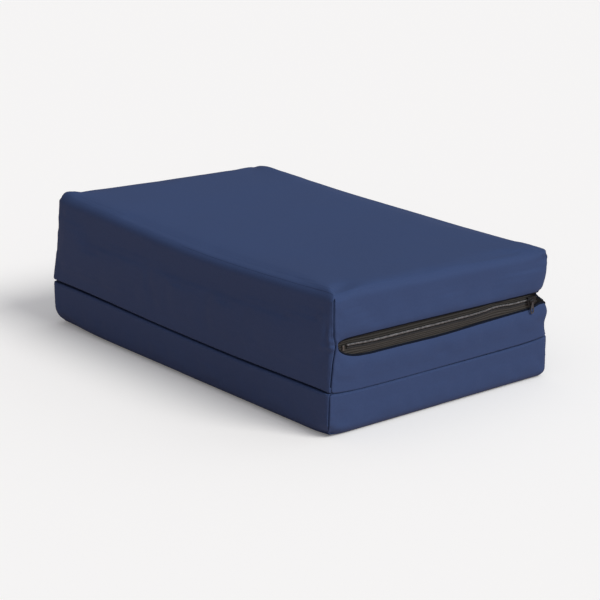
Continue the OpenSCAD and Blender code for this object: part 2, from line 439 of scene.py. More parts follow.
def round_box(sec, p, inset):
    """Rounds a section's sharp box. Returns the points and each point's outward direction in plan."""
    depth = (HALF - inset - np.abs(p[:, :2])).min(1)
    radius = np.maximum(plan_radius(p[:, 0], p[:, 1] * sec.turn[1]) - inset, 1.0)
    core, out, reach = round_plan(p[:, :2], radius, inset)
    q = np.column_stack([core + out * reach[:, None], p[:, 2]])
    low, high = inset, sec.t - inset
    for radius, from_end, end, inward in (
        (low_radius(sec, p[:, 1]), p[:, 2] - low, low, 1),
        (high_radius(sec, p[:, 0], p[:, 1]), high - p[:, 2], high, -1),
    ):
        radius = np.maximum(radius - inset, 0.3)
        a = np.maximum(radius - depth, 0)
        b = np.maximum(radius - from_end, 0)
        corner = (a > 0) & (b > 0)
        scale = np.maximum(a, b) / np.maximum(np.hypot(a, b), 1e-9)
        q[:, :2] -= np.where(corner, a * (1 - scale), 0)[:, None] * out
        q[:, 2] = np.where(corner, end + inward * (radius - b * scale), q[:, 2])
    return q, out


def shift_ring(sec, s, h):
    """Slides the grid lines round the corners so that one of them lies on each seam."""
    moved = s.copy()
    fade = smooth(h, 0, 3) * smooth(sec.t - h, 0, 6)
    for index, (at, way) in enumerate(SEAMS):
        shift = (sec.seam_at(index, h) - SEAM_FROM_CORNER) * fade
        gap = ring_gap(s, at) * way
        hat = np.where(gap < 0, np.clip(1 + gap / 20, 0, 1), np.clip(1 - gap / 40, 0, 1))
        moved += way * shift * hat
    return moved


def cap_ids(ring, start, nx, ny):
    """Point numbers of a cap: new ones from start inside, and a wall's ring of points all round."""
    ids = np.zeros((nx, ny), int)
    ids[1:-1, 1:-1] = start + numbered(nx - 2, ny - 2)
    ids[:-1, 0] = ring[: nx - 1]
    ids[-1, :-1] = ring[nx - 1 : nx + ny - 2]
    ids[:0:-1, -1] = ring[nx + ny - 2 : 2 * nx + ny - 3]
    ids[0, :0:-1] = ring[2 * nx + ny - 3 :]
    return ids


def grid(sec, fine, coarse, rows_low, rows_up, inset=0.0, opened=True):
    """The section's closed surface as one grid: points, quads, and what each point and quad belongs to."""
    xs, ys = ticks(MAT_W, fine, coarse), ticks(MAT_L, fine, coarse)
    nx, ny = len(xs), len(ys)
    s = np.concatenate([corner + side[:-1] for corner, side in zip(CORNERS, (xs, ys, xs, ys))])
    count = len(s)
    closed = np.full(count, sec.end_h)
    upper = sec.lip(s, True) if opened else closed
    lower = sec.lip(s, False) if opened else closed
    is_open = upper - lower > LEAST_OPENING

    # The walls, below and above the opening. Where it is closed both share the points between them
    low_h = np.maximum(lower[:, None] * spread(rows_low), inset)
    up_h = np.minimum(upper[:, None] + (sec.t - upper)[:, None] * spread(rows_up), sec.t - inset)
    wall_s = np.concatenate([np.repeat(s, rows_low + 1), np.repeat(s, rows_up + 1)])
    wall_h = np.concatenate([low_h.ravel(), up_h.ravel()])
    wall_x, wall_y = ring_point(shift_ring(sec, wall_s, wall_h), inset)
    low_id = numbered(count, rows_low + 1)
    up_id = low_id.size + numbered(count, rows_up + 1)
    up_id[~is_open, 0] = low_id[~is_open, rows_low]

    # The two caps
    inner_x, inner_y = np.meshgrid(xs[1:-1] - HALF_W, ys[1:-1] - HALF_L, indexing="ij")
    inner_x = np.clip(inner_x, -HALF_W + inset, HALF_W - inset).ravel()
    inner_y = np.clip(inner_y, -HALF_L + inset, HALF_L - inset).ravel()
    points = [np.column_stack([wall_x, wall_y, wall_h])]
    caps = []
    for height, ring in ((sec.t - inset, up_id[:, -1]), (inset, low_id[:, 0])):
        caps.append(cap_ids(ring, sum(map(len, points)), nx, ny))
        points.append(np.column_stack([inner_x, inner_y, np.full(inner_x.size, height)]))
    box = np.concatenate(points)

    middle = s + ring_gap(np.roll(s, -1), s) / 2
    on_front = (middle > SEAM_FROM_CORNER) & (middle < MAT_W - SEAM_FROM_CORNER)
    low_tag = np.full((count, rows_low), CAP)
    low_tag[on_front] = BAND
    low_tag[:, :BASE_ROWS] = BASE
    walls = [sheet_quads(np.vstack([ids, ids[:1]])) for ids in (low_id, up_id)]
    top, bottom = sheet_quads(caps[0]), sheet_quads(caps[1])[:, ::-1]
    tags = [low_tag.ravel(), np.full(len(walls[1]), CAP), np.full(len(top), CAP), np.full(len(bottom), BASE)]

    p, out = round_box(sec, box, inset)
    ring_s = np.concatenate([wall_s, np.full(len(box) - len(wall_s), np.nan)])
    return SimpleNamespace(
        p=p, box=box, out=out, s=ring_s, wall=~np.isnan(ring_s), quads=np.concatenate([*walls, top, bottom]),
        tags=np.concatenate(tags), low_id=low_id, up_id=up_id, open=is_open, opening=upper - lower,
        on_front=on_front,
    )


# ---------- relief of the cloth ----------

PUCKER = 0.15            # height of the small puckers along a seam
PUCKER_DRAWN = 0.62      # the same along the front left seams, which are drawn tight
GROOVE = 2.2             # depth of a seam
LIP_ROLL = 1.6           # the cloth rolls in this far at a lip
LIP_ROLL_WIDTH = 7.5


def seam_relief(sec, s, h):
    """How far the cloth stands out (+) or sinks (-) at the corner seams, and how deep in the seam it is,
    which sets the painted shade in the seam.
    """
    relief = np.zeros(len(s))
    depth = np.zeros(len(s))
    along = np.ones(len(s)) if sec is thin else smooth(sec.t - h, SEAM_FREE - 3, SEAM_FREE + 1)
    for index, (at, way) in enumerate(SEAMS):
        d = ring_gap(s, at) * way
        tight = 0.8 + 0.2 * np.sin(h / 5.0 + index)
        depth = np.maximum(depth, bell(d, 0, 1.0) * along * tight)
        ridge = 0.45 * bell(d, -2.9, 1.3) + 0.2 * bell(d, 2.6, 1.6)
        wave = np.sin(h / 2.1 + 2.0 * np.sin(h / 9.0 + index)) * np.sin(h / 15.0 + 1.7 * index)
        size = PUCKER_DRAWN if index == sec.drawn else PUCKER
        pucker = size * wave * (bell(d, -5, 4) + 0.55 * bell(d, 4.5, 3.5))
        relief += (ridge + pucker - GROOVE * bell(d, 0, 0.95)) * along
        if sec is thick:
            # The seam ends in a dimple, with a fold of cloth beside it; the dimple gets painted shade too
            dimple = bell(d, 0, 2.0) * bell(sec.t - h, SEAM_FREE, 2.6)
            depth = np.maximum(depth, dimple)
            relief += 0.8 * bell(d, -3.4, 1.2) * bell(sec.t - h, SEAM_FREE + 2, 4) - 2.4 * dimple
    return relief, depth


def zip_end_relief(s, h):
    """Folds that only the front left corner of the thick section has, by the end of its zip."""
    z = h + THICK_Z
    d = ring_gap(s, SEAM_FROM_CORNER)
    ridge = 1.3 * bell(d, -9, 3.2) * bell(z, 127, 13)
    beside = -0.9 * bell(d, -14.5, 3.5) * bell(z, 124, 15)
    fold = 1.2 * bell(z, 112.5, 2.6) * smooth(d, -38, -8) * smooth(-d, 0, 4)
    under = -1.1 * bell(z, 106.5, 2.8) * smooth(d, -34, -7) * smooth(-d, 0, 4)
    return ridge + beside + fold + under


def cloth_relief(sec, g):
    """Relief of the whole cover, and how deep in a seam each point is (0-1), which sets the painted shade in
    the seams.
    """
    relief, depth = np.zeros(len(g.p)), np.zeros(len(g.p))
    s, h = g.s[g.wall], g.box[g.wall, 2]
    relief[g.wall], depth[g.wall] = seam_relief(sec, s, h)
    if sec is thick:
        relief[g.wall] += zip_end_relief(s, h)
    upper, lower = sec.lip(s, True), sec.lip(s, False)
    distance = np.maximum(np.where(h > sec.end_h, h - upper, lower - h), 0)
    roll = LIP_ROLL * np.clip(1 - distance / LIP_ROLL_WIDTH, 0, 1) ** 2 * np.clip((upper - lower) / 12, 0, 1)
    relief[g.wall] -= np.where(upper - lower > LEAST_OPENING, roll, 0)
    return relief, depth


# ---------- cloth simulation ----------

SIM_STEP = 9.0           # grid size of the simulated cloth
SIM_FRAMES = 20
SWELL_CAP = 3.2          # no point moves further than this
CARRY_REACH = 3.0        # softens the weights when the movement is carried to a finer grid
CLOTH = {
    "quality": 6,
    "mass": 0.3,
    "tension_stiffness": 35,
    "compression_stiffness": 35,
    "shear_stiffness": 18,
    "bending_stiffness": 4,
    "air_damping": 2,
    "shrink_min": -0.006,
    "use_pressure": True,
    "uniform_pressure_force": 3.0,
    "vertex_group_mass": "held",
}


def make_mesh(name, points, faces, materials=()):
    """A smooth-shaded mesh object from points in millimetres."""
    mesh = bpy.data.meshes.new(name)
    mesh.from_pydata((np.asarray(points) * MM).tolist(), [], [list(map(int, f)) for f in faces])
    mesh.validate()
    for material in materials:
        mesh.materials.append(material)
    mesh.polygons.foreach_set("use_smooth", [True] * len(mesh.polygons))
    obj = bpy.data.objects.new(name, mesh)
    bpy.context.scene.collection.objects.link(obj)
    return obj


def held_points(sec, g):
    """Which points of a grid the foam, the seams and the zip hold in place."""
    held = np.zeros(len(g.p), bool)
    held[np.unique(g.quads[g.tags == BASE])] = True
    held[g.low_id[g.open, -1]] = True
    held[g.up_id[g.open, 0]] = True
    h = g.box[:, 2]
    for at, _ in SEAMS:
        on_seam = np.abs(ring_gap(np.nan_to_num(g.s), at)) < 1.5
        held[g.wall & on_seam & (h < sec.t - SEAM_FREE)] = True
    if sec is thin:
        # It stands on its closed side
        held[~g.wall | (h > sec.t - 4)] = True
    return held


def simulate_swell(sec, rows_low, rows_up):
    """Runs the cover as a cloth under slight pressure. Returns the rest points and their movements."""
    g = grid(sec, SIM_STEP * 0.55, SIM_STEP, rows_low, rows_up)
    rest = sec.settled(g.p)
    obj = make_mesh("sim_" + sec.name, rest, g.quads)
    group = obj.vertex_groups.new(name="held")
    group.add(np.flatnonzero(held_points(sec, g)).tolist(), 1.0, "REPLACE")

    cloth = obj.modifiers.new("cloth", "CLOTH")
    for key, value in CLOTH.items():
        setattr(cloth.settings, key, value)
    cloth.settings.effector_weights.gravity = 0
    cloth.collision_settings.use_collision = False
    cloth.collision_settings.use_self_collision = False
    cloth.point_cache.frame_start = 1
    cloth.point_cache.frame_end = SIM_FRAMES
    scene = bpy.context.scene
    for number in range(1, SIM_FRAMES + 1):
        scene.frame_set(number)
    done = obj.evaluated_get(bpy.context.evaluated_depsgraph_get()).data
    co = np.empty(len(rest) * 3)
    done.vertices.foreach_get("co", co)
    moved = co.reshape(-1, 3) / MM - rest
    scene.frame_set(1)
    bpy.data.objects.remove(obj)

    length = np.linalg.norm(moved, axis=1, keepdims=True)
    moved /= np.sqrt(1 + (length / SWELL_CAP) ** 2)
    used = np.unique(g.quads)
    return rest[used], moved[used]


def carry_swell(sim, p):
    """Takes the simulated movement over to a finer grid by distance-weighted neighbours."""
    rest, moved = sim
    tree = KDTree(len(rest))
    for i, point in enumerate(rest.tolist()):
        tree.insert(point, i)
    tree.balance()
    result = np.zeros_like(p)
    for i, point in enumerate(p.tolist()):
        near = tree.find_n(point, 6)
        weight = np.array([1 / (d * d + CARRY_REACH ** 2) ** 1.5 for _, _, d in near])
        result[i] = (weight[:, None] * moved[[k for _, k, _ in near]]).sum(0) / weight.sum()
    return result


# ---------- materials ----------

class Shader:
    """A node tree, with a short way to add each kind of node. A value is a number, a colour or an output."""

    def __init__(self, tree):
        self.nodes = tree.nodes
        self.links = tree.links

    def plug(self, value, socket):
        """Sets a socket to a number or a colour, or links it to another node's output."""
        if isinstance(value, bpy.types.NodeSocket):
            self.links.new(value, socket)
        else:
            socket.default_value = (*value, 1) if isinstance(value, tuple) else value

    def add(self, kind, inputs, **settings):
        """A new node with its settings, and its inputs by name or number."""
        node = self.nodes.new("ShaderNode" + kind)
        for key, value in settings.items():
            setattr(node, key, value)
        for socket, value in inputs.items():
            self.plug(value, node.inputs[socket])
        return node

    def surface(self, **inputs):
        """Plugs values into the Principled shader, whose inputs are named with _ for a space."""
        for name, value in inputs.items():
            self.plug(value, self.nodes["Principled BSDF"].inputs[name.replace("_", " ")])

    def source(self, kind, output):
        """The output of a node that has no inputs."""
        return self.add(kind, {}).outputs[output]

    def attribute(self, name):
        return self.add("Attribute", {}, attribute_name=name).outputs["Fac"]

    def math(self, operation, a, b=None):
        inputs = {0: a} if b is None else {0: a, 1: b}
        return self.add("Math", inputs, operation=operation).outputs[0]

    def times(self, a, b):
        return self.math("MULTIPLY", a, b)

    def noise(self, vector, scale, detail, rough=0.55):
        inputs = {"Vector": vector, "Scale": scale, "Detail": detail, "Roughness": rough}
        return self.add("TexNoise", inputs).outputs["Fac"]

    def ramp(self, value, lo, hi):
        """0 at lo and 1 at hi."""
        return self.add("MapRange", {"Value": value, "From Min": lo, "From Max": hi}).outputs["Result"]

    def mix(self, share, a, b):
        """Colour a, going to colour b as share goes to 1."""
        return self.add("Mix", {"Factor": share, 6: a, 7: b}, data_type="RGBA").outputs[2]

    def bump(self, height, strength, distance, below=None):
        inputs = {"Strength": strength, "Distance": distance, "Height": height}
        if below is not None:
            inputs["Normal"] = below
        return self.add("Bump", inputs).outputs["Normal"]

    def weave(self, coords, pitch):
        """Over-and-under threads in the plane that the surface faces."""
        split = self.add("SeparateXYZ", {0: coords})
        normal = self.source("NewGeometry", "Normal")
        local = self.add("VectorTransform", {0: normal},
                         vector_type="NORMAL", convert_from="WORLD", convert_to="OBJECT")
        facing = self.add("SeparateXYZ", {0: local.outputs[0]})
        waves = [self.math("SINE", self.times(split.outputs[axis], TAU / pitch / 2)) for axis in range(3)]
        total = None
        for axis in range(3):
            side = self.math("POWER", self.math("ABSOLUTE", facing.outputs[axis]), 6.0)
            part = self.times(self.times(waves[axis - 2], waves[axis - 1]), side)
            total = part if total is None else self.math("ADD", total, part)
        return total


def new_material(name):
    material = bpy.data.materials.new(name)
    material.use_nodes = True
    return material, Shader(material.node_tree)


def slot_color(name):
    """The record's colour for a material slot."""
    return next(tuple(row["base_color"][:3]) for row in frame["record"]["materials"] if row["slot"] == name)


def shade(color, *factors):
    """A colour times one factor, or times one for each channel."""
    return tuple(min(1.0, c * f) for c, f in zip(color, factors * (3 if len(factors) == 1 else 1)))


def cloth_material(name, color):
    """Coated woven cloth: fine weave, soft sheen, slight mottling, and paler along its edges, partly from
    wear and partly as painted sheen.
    """
    material, sh = new_material(name)
    coords = sh.source("TexCoord", "Object")
    mottle = sh.noise(coords, 14, 4)
    fine = sh.noise(coords, 420, 3)
    tone = sh.mix(sh.ramp(mottle, 0.25, 0.75), shade(color, 0.95), shade(color, 1.05))
    grain = sh.mix(sh.ramp(fine, 0.3, 0.7), shade(color, 0.93), shade(color, 1.07))
    # Paler along the sharpest edges: partly wear, partly a painted sheen highlight
    edge = sh.ramp(sh.source("NewGeometry", "Pointiness"), 0.53, 0.62)
    worn = sh.times(sh.times(edge, sh.ramp(fine, 0.35, 0.65)), 0.22)
    rubbed_and_sheen = sh.mix(worn, sh.mix(0.5, tone, grain), shade(color, 1.8))
    # Painted shade: darker in the grooves of the corner seams and in the dimples where they end
    seam_painted_shade = sh.times(sh.attribute("seam_painted_shade"), 0.75)
    threads = sh.bump(sh.weave(coords, 0.0007), 0.12, 0.00008)
    sh.surface(
        Base_Color=sh.mix(seam_painted_shade, rubbed_and_sheen, shade(color, 0.12)),
        Roughness=sh.math("ADD", sh.times(sh.ramp(mottle, 0.2, 0.8), 0.08), 0.60),
        Specular_IOR_Level=0.07,
        Sheen_Weight=0.015,
        Sheen_Roughness=0.45,
        Sheen_Tint=(0.75, 0.82, 1),
        Normal=sh.bump(sh.noise(coords, 60, 2), 0.10, 0.0006, threads),
    )
    return material


def tape_material(name, color):
    """Woven zip tape, with painted shade that makes it darker and duller in the valleys between its ribs,
    under the slider's end and round the bottom stop.
    """
    material, sh = new_material(name)
    coords = sh.source("TexCoord", "Object")
    fine = sh.noise(coords, 900, 2)
    mottle = sh.noise(coords, 60, 3)
    tone = sh.mix(sh.ramp(fine, 0.3, 0.7), shade(color, 0.7), shade(color, 1.35))
    soft = sh.mix(sh.ramp(mottle, 0.3, 0.7), shade(color, 0.9), shade(color, 1.12))
    # Painted shade read from each point's value: darker colour and less shine there
    dark = sh.times(sh.attribute("tape_painted_shade"), 0.8)
    lit = sh.math("SUBTRACT", 1.0, dark)
    sh.surface(
        Base_Color=sh.mix(dark, sh.mix(0.4, tone, soft), shade(color, 0.15)),
        Roughness=0.75,
        Specular_IOR_Level=sh.times(lit, 0.15),
        Sheen_Weight=sh.times(lit, 0.04),
        Normal=sh.bump(sh.weave(coords, 0.0006), 0.35, 0.00012),
    )
    return material


def hard_material(name, color, roughness, wear, **surface):
    """Semi-matte plastic or enamel with a faint orange-peel, and paler where its edges are worn."""
    material, sh = new_material(name)
    coords = sh.source("TexCoord", "Object")
    marks = sh.noise(coords, 240, 5, 0.7)
    broad = sh.ramp(marks, 0.3, 0.7)
    edge = sh.ramp(sh.source("NewGeometry", "Pointiness"), 0.52, 0.60)
    worn = sh.times(sh.times(edge, sh.ramp(marks, 0.45, 0.6)), wear)
    sh.surface(
        Base_Color=sh.mix(worn, sh.mix(broad, shade(color, 0.85), shade(color, 1.15)), shade(color, 5.0)),
        Roughness=sh.math("ADD", sh.times(broad, 0.15), roughness),
        Normal=sh.bump(sh.noise(coords, 700, 2), 0.15, 0.00006),
        **surface,
    )
    return material


def foam_material(name, color):
    """Open-cell foam: pale, matte and pitted."""
    material, sh = new_material(name)
    coords = sh.source("TexCoord", "Object")
    pits = sh.add("TexVoronoi", {"Scale": 700, "Vector": coords}).outputs["Distance"]
    # Painted shade: the foam is darker in the pits of its cells
    tone = sh.mix(sh.ramp(pits, 0.1, 0.6), shade(color, 0.72), shade(color, 1.05))
    sh.surface(
        Base_Color=sh.mix(sh.times(sh.noise(coords, 22, 3), 0.3), tone, shade(color, 0.85)),
        Roughness=0.95,
        Specular_IOR_Level=0.15,
        Normal=sh.bump(pits, 0.5, 0.0008),
    )
    return material


COVER = cloth_material("cover_cloth", slot_color("cover"))
# The cloth's dark back, at a tenth of the cover's colour: partly the back of the coated cloth, partly painted
# shade for the shadow under the lips
BACK_AND_SHADE = cloth_material("cover_back_painted_shade", shade(slot_color("cover"), 0.10))
FOAM = foam_material("foam", slot_color("foam"))
TAPE = tape_material("zip_tape", shade(slot_color("zip_tape"), 1.36, 1.36, 1.2))
COIL = hard_material("zip_coil", slot_color("zip_coil"), 0.38, 0.3)
# The thick section's lower tape catches more light, and its coil lies in the shadow of the upper one
TAPE_LOW = tape_material("zip_tape_low", shade(slot_color("zip_tape"), 2.05, 2.05, 1.85))
COIL_LOW = hard_material("zip_coil_low", shade(slot_color("zip_coil"), 0.2), 0.45, 0.1)
# The slider and top stops take a much darker copy of the zip metal than the pull: partly its dark enamel,
# partly painted shade for the slider's shaded body
METAL = hard_material("zip_enamel", shade(slot_color("zip_metal"), 0.32), 0.40, 0.4, Specular_IOR_Level=0.2)
PULL_METAL = hard_material("zip_pull_enamel", shade(slot_color("zip_metal"), 0.95), 0.4, 0.3)
CLIP = hard_material("zip_clip", (0.11, 0.10, 0.085), 0.3, 0.3, Metallic=0.6)


# ---------- covers ----------

CLOTH_T = 0.9            # thickness of the covers' cloth
# The cloth's way over a lip and in to the tape: (across the opening, inwards)
LIP_PROFILE = (
    (0.40, 0.10), (0.75, 0.40), (0.95, 0.90), (1.5, 1.2),
    (2.6, 1.4), (3.0, 2.2), (2.8, 4.2), (2.4, 5.8),
)
SHADED_BACK_FROM = 3            # from this row of the profile on, the cloth shows its dark back, made near black as painted shade under the lip


def place(obj, body, node):
    """Hands over a finished piece: attaches it to the body that moves it and hides the CAD node it stands
    for.
    """
    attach(obj, body)
    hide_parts(node)


def compact(points, faces):
    """Leaves out the points that no face uses. Returns the points, the faces and which points are left."""
    used, index = np.unique(faces, return_inverse=True)
    return points[used], index.reshape(np.shape(faces)), used


def thicken(obj, thickness):
    """Gives a sheet its thickness, behind the side that shows."""
    solid = obj.modifiers.new("thickness", "SOLIDIFY")
    solid.thickness = thickness * MM
    solid.offset = -1


def point_values(obj, name, values):
    """Stores a value for each point, for the material to read."""
    attribute = obj.data.attributes.new(name, "FLOAT", "POINT")
    attribute.data.foreach_set("value", values.astype(np.float32))


def lip_return(g, ids, world, out, is_upper):
    """Rolls the cloth over a lip and in to the tape. Returns points, quads and the grid columns used."""
    columns = np.flatnonzero(g.open)
    columns = np.concatenate([[columns[0] - 1], columns, [columns[-1] + 1]])
    edge = world[ids[columns]]
    normal = out[ids[columns]]
    across = unit(np.cross(unit(np.gradient(edge, axis=0)), normal)) * (1 if is_upper else -1)
    reach = np.clip(g.opening[columns] / 9, 0.1, 1)[:, None]
    points = [edge + across * far * reach - normal * deep for far, deep in LIP_PROFILE]
    rows = np.vstack([ids[columns], len(world) + numbered(len(LIP_PROFILE), len(columns))])
    quads = sheet_quads(rows.T)
    return np.concatenate(points), quads[:, ::-1] if is_upper else quads, columns


def build_cover(sec, sim, rows_low, rows_up):
    """The cover of a section: points, quads, the piece and the side of each quad, and depth in a seam, for
    the painted shade there.
    """
    g = grid(sec, 1.0, 7.0, rows_low, rows_up)
    relief, seam = cloth_relief(sec, g)
    out = np.column_stack([g.out, np.zeros(len(g.p))])
    world = sec.settled(g.p + out * relief[:, None])
    if sim is not None:
        world += carry_swell(sim, world)
    quads, tags, shaded_backs = [g.quads], [g.tags], [np.zeros(len(g.tags), bool)]
    for ids, is_upper in ((g.up_id[:, 0], True), (g.low_id[:, -1], False)):
        extra, strip, columns = lip_return(g, ids, world, out * sec.turn, is_upper)
        world = np.concatenate([world, extra])
        tag = np.where(g.on_front[columns[:-1]] & (not is_upper), BAND, CAP)
        quads.append(strip)
        tags.append(np.repeat(tag, len(LIP_PROFILE)))
        shaded_backs.append(np.tile(np.arange(len(LIP_PROFILE)) >= SHADED_BACK_FROM, len(tag)))
    seam = np.concatenate([seam, np.zeros(len(world) - len(seam))])
    return world, np.concatenate(quads), np.concatenate(tags), np.concatenate(shaded_backs), seam


def add_cover(sec, sim, rows_low, rows_up, pieces):
    """Adds a section's cover as separate cloth pieces, given for each the tag of its quads, name and node."""
    world, quads, tags, shaded_backs, seam = build_cover(sec, sim, rows_low, rows_up)
    for tag, name, node in pieces:
        points, faces, used = compact(world, quads[tags == tag])
        obj = make_mesh(name, points, faces, [COVER, BACK_AND_SHADE])
        obj.data.polygons.foreach_set("material_index", shaded_backs[tags == tag].astype(int).tolist())
        # How deep in a seam each point is, for the painted shade there
        point_values(obj, "seam_painted_shade", seam[used])
        thicken(obj, CLOTH_T)
        place(obj, sec.body, node)


thick_sim = simulate_swell(thick, 6, 8)
thin_sim = simulate_swell(thin, 3, 3)
add_cover(thick, thick_sim, 26, 34, (
    (CAP, "thick_cover", "thick_cover_cap"),
    (BAND, "thick_band", "thick_front_band"),
    (BASE, "thick_base", "thick_base_panel"),
))
add_cover(thin, thin_sim, 16, 16, (
    (CAP, "thin_cover", "thin_cover_tray"),
    (BAND, "thin_band", "thin_rear_band"),
    (BASE, "thin_panel", "thin_inner_panel"),
))


# ---------- foam ----------

def add_foam(sec, inset):
    """A section's foam core, which follows the settled cover inset mm behind it."""
    g = grid(sec, 4.0, 14.0, 6, 6, inset, opened=False)
    points, faces, _ = compact(sec.settled(g.p), g.quads)
    obj = make_mesh(sec.name + "_foam", points, faces, [FOAM])
    place(obj, sec.body, sec.name + "_foam_core")


add_foam(thick, 7.5)
add_foam(thin, 6.5)


# ---------- zip tapes and coils ----------

TAPE_T = 0.5
TAPE_SPARE = 3.5         # how much further than the CAD's the tapes reach under the lips
TAPE_START = ZIP_START - 6
TAPE_END = MAT_W + 19    # ring position of the right end, round the corner
TAPE_LEAN = 1.3          # how far a tape leans back under its lip
RIB_PITCH = 2.8
RIB_DEPTH = 0.42
COIL_PITCH = 1.25
WIRE_R = 0.42
COIL_BACK = 0.8          # the thick section's lower coil lies this far behind the upper one
COIL_DROP = 0.5          # and this much lower than in the CAD


def zip_wander(x):
    """The soft zip does not lie quite straight: how far it stands above its line in the CAD."""
    sag = -1.2 + 0.8 * smooth(x, 110, 140)
    return sag + 2.1 * bell(x, -160, 26) + 2.6 * bell(x, 90, 24)


def add_tape(sec, name, node, side):
    """A ribbed tape that follows the cover's wall a few millimetres behind it and round the right corner."""
    s = np.concatenate([np.linspace(TAPE_START, MAT_W - 16, 64), np.linspace(MAT_W - 14, TAPE_END, 26)])
    width = TAPE_W + TAPE_SPARE
    across = np.linspace(0.35, width, int(width / RIB_PITCH * 8))
    quads = sheet_quads(numbered(len(s), len(across)))
    s, across = [a.ravel() for a in np.meshgrid(s, across, indexing="ij")]
    x, y = ring_point(s, TAPE_DEPTH)
    radius = plan_radius(x, y * sec.turn[1]) - TAPE_DEPTH + 1
    core, out, reach = round_plan(np.column_stack([x, y]), radius, TAPE_DEPTH)
    rib = np.abs(np.sin(np.pi * across / RIB_PITCH))
    # The tape leans back under its lip
    reach += RIB_DEPTH * (rib - 0.5) * smooth(across, COIL_W, COIL_W + 1) - TAPE_LEAN * smooth(across, 5, 14)
    h = sec.zip_h + side * across
    is_lower = sec is thick and side < 0
    if is_lower:
        # This one stands out again where it goes round the corner
        reach += 2 * TAPE_LEAN * smooth(across, 3, 8) * smooth(s, MAT_W - 14, MAT_W - 3)
    if sec is thick:
        h += zip_wander(x) * (1 - smooth(across, 4, 12))
    world = sec.settled(np.column_stack([core + out * reach[:, None], h]))
    obj = make_mesh(name, world, quads[:, ::-1] if side < 0 else quads, [TAPE_LOW if is_lower else TAPE])
    # Painted shade: dark in the valleys between the ribs, under the slider's end and round the bottom stop
    slider_end_shade = 1.2 * smooth(s, MAT_W - 38, MAT_W - 30)
    stop_shade = 1.15 * bell(s, COIL_LEFT + HALF_W + 1, 6) * bell(across, 0, 4)
    point_values(obj, "tape_painted_shade", np.maximum(1 - rib, np.maximum(slider_end_shade, stop_shade)))
    thicken(obj, TAPE_T)
    place(obj, sec.body, node)


def oval(cx, cy, rx, ry, count, power=2.0):
    """Points of an ellipse, or with a higher power of a rounded rectangle."""
    turn = TAU * np.arange(count) / count
    x, y = [np.sign(wave) * np.abs(wave) ** (2 / power) for wave in (np.cos(turn), np.sin(turn))]
    return list(zip((cx + rx * x).tolist(), (cy + ry * y).tolist()))


def sweep(path, across, section):
    """A closed bar along a path. section gives its outline: (a, b) with a along across, b square to it."""
    tangent = unit(np.gradient(path, axis=0))
    a_way = unit(across - (tangent @ across)[:, None] * tangent)
    b_way = np.cross(tangent, a_way)
    rings = np.stack([path + a_way * a + b_way * b for a, b in section], 1)
    ids = numbered(len(path), len(section))
    quads = sheet_quads(np.vstack([ids.T, ids[:, 0]]))
    return rings.reshape(-1, 3), quads.tolist() + [ids[0, ::-1].tolist(), ids[-1].tolist()]


def add_coil(sec, name, node, side):
    """One nylon coil: a flattened spiral sewn along the edge of its tape."""
    is_lower = sec is thick and side < 0
    turns = TAU * np.arange(0, (COIL_RIGHT - COIL_LEFT) / COIL_PITCH, 1 / 10)
    theta = turns + (math.pi if side < 0 else 0)
    x = COIL_LEFT + COIL_PITCH * turns / TAU + (0.25 * COIL_PITCH if side < 0 else 0)
    y = FRONT + TAPE_DEPTH - COIL_H / 2 + (COIL_H / 2 - WIRE_R) * np.cos(theta)
    h = sec.zip_h + side * (COIL_W / 2 + (COIL_W / 2 - 0.25 - WIRE_R) * np.sin(theta))
    if is_lower:
        y += COIL_BACK
        h -= COIL_DROP
    if sec is thick:
        h += zip_wander(x)
    wire = oval(0, 0, WIRE_R, WIRE_R, 5)
    points, faces = sweep(np.column_stack([x, y, h]), np.array([1.0, 0, 0]), wire)
    world = sec.settled(points)
    if sec is thin:
        world[:, :2] = sec.straight(points)[:, :2]
    obj = make_mesh(name, world, faces, [COIL_LOW if is_lower else COIL])
    place(obj, sec.body, node)


# ---------- sliders, pulls and stops ----------

WING_T = 1.3             # thickness of the slider's wings
PULL_T = 1.2
STOP_EDGE_R = 0.5
STOP_GAP = 3.0           # the top stops' distance from the middle of the zip
STOP_HALF = 1.0          # half the height of a top stop


def outline_plate(outlines, thickness, edge_r):
    """A flat plate with rounded edges, centred on z = 0, from its outline and those of its holes."""
    curve = bpy.data.curves.new("plate", "CURVE")
    curve.dimensions = "2D"
    curve.fill_mode = "BOTH"
    curve.extrude = (thickness / 2 - edge_r) * MM
    curve.bevel_depth = edge_r * MM
    curve.bevel_resolution = 2
    curve.offset = -edge_r * MM
    for outline in outlines:
        spline = curve.splines.new("POLY")
        spline.points.add(len(outline) - 1)
        for point, (a, b) in zip(spline.points, outline):
            point.co = (a * MM, b * MM, 0, 1)
        spline.use_cyclic_u = True
    obj = bpy.data.objects.new("plate", curve)
    bpy.context.scene.collection.objects.link(obj)
    mesh = bpy.data.meshes.new_from_object(obj.evaluated_get(bpy.context.evaluated_depsgraph_get()))
    bpy.data.objects.remove(obj)
    points = np.array([v.co for v in mesh.vertices]) / MM
    faces = [tuple(f.vertices) for f in mesh.polygons]
    bpy.data.meshes.remove(mesh)
    return points, faces


def mirrored_outline(rows):
    """A closed outline, symmetric about y = 0, from (x, half width) rows along its length."""
    return [(x, -w) for x, w in rows] + rows[::-1]


def stand(plate, x, y, z):
    """Turns a plate from its own plane to face the front, with its middle at x, y, z."""
    points, faces = plate
    return np.column_stack([points[:, 0] + x, y - points[:, 2], points[:, 1] + z]), faces


def join(parts):
    """One set of points and faces from several."""
    points, faces, start = [], [], 0
    for part_points, part_faces in parts:
        points.append(part_points)
        faces += [[i + start for i in face] for face in part_faces]
        start += len(part_points)
    return np.concatenate(points), faces


def fix_normals(obj):
    """Welds a mesh's loose edges and turns its faces outwards."""
    bm = bmesh.new()
    bm.from_mesh(obj.data)
    bmesh.ops.remove_doubles(bm, verts=bm.verts, dist=0.00001)
    bmesh.ops.recalc_face_normals(bm, faces=bm.faces)
    bm.to_mesh(obj.data)
    bm.free()


